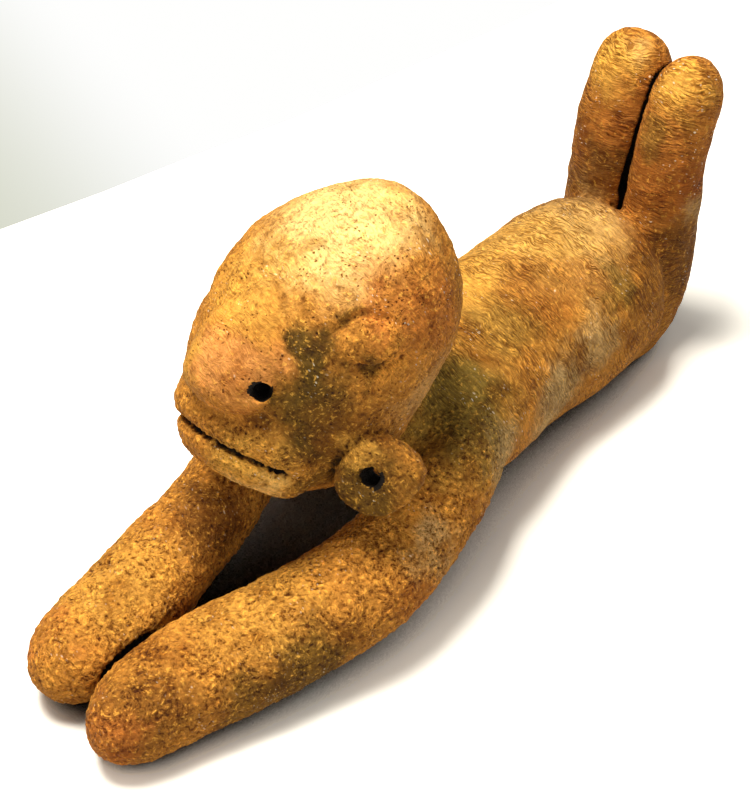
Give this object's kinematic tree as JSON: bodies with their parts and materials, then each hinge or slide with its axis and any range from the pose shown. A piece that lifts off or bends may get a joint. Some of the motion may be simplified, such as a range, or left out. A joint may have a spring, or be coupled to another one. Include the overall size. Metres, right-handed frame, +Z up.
{
  "type": "terracotta figure",
  "caption": "Hand-modelled terracotta figure lying on its belly, arms stretched forward, raised egg-shaped head with pierced ear lobes, shins folded up behind.",
  "frame": {"origin": "middle of the figure's footprint on the table, at the underside of the belly", "axes": "+Z up; the hands point along -Y and the knees along +Y; the figure's own left side is +X"},
  "size_m": [0.1038, 0.2848, 0.1291],
  "materials": {
    "buff_clay": "matte",
    "red_clay": "matte",
    "dark_clay": "matte"
  },
  "bodies": {
    "root": {"trunk": "dark_clay", "neck": "dark_clay", "arm_left": "buff_clay", "arm_right": "buff_clay", "leg_left": "red_clay", "leg_right": "red_clay", "head": "buff_clay", "nose": "red_clay", "upper_lip": "buff_clay", "lower_lip": "buff_clay", "eye_left": "red_clay", "eye_right": "red_clay", "ear_left": "dark_clay", "ear_right": "dark_clay"}
  },
  "joints": []
}
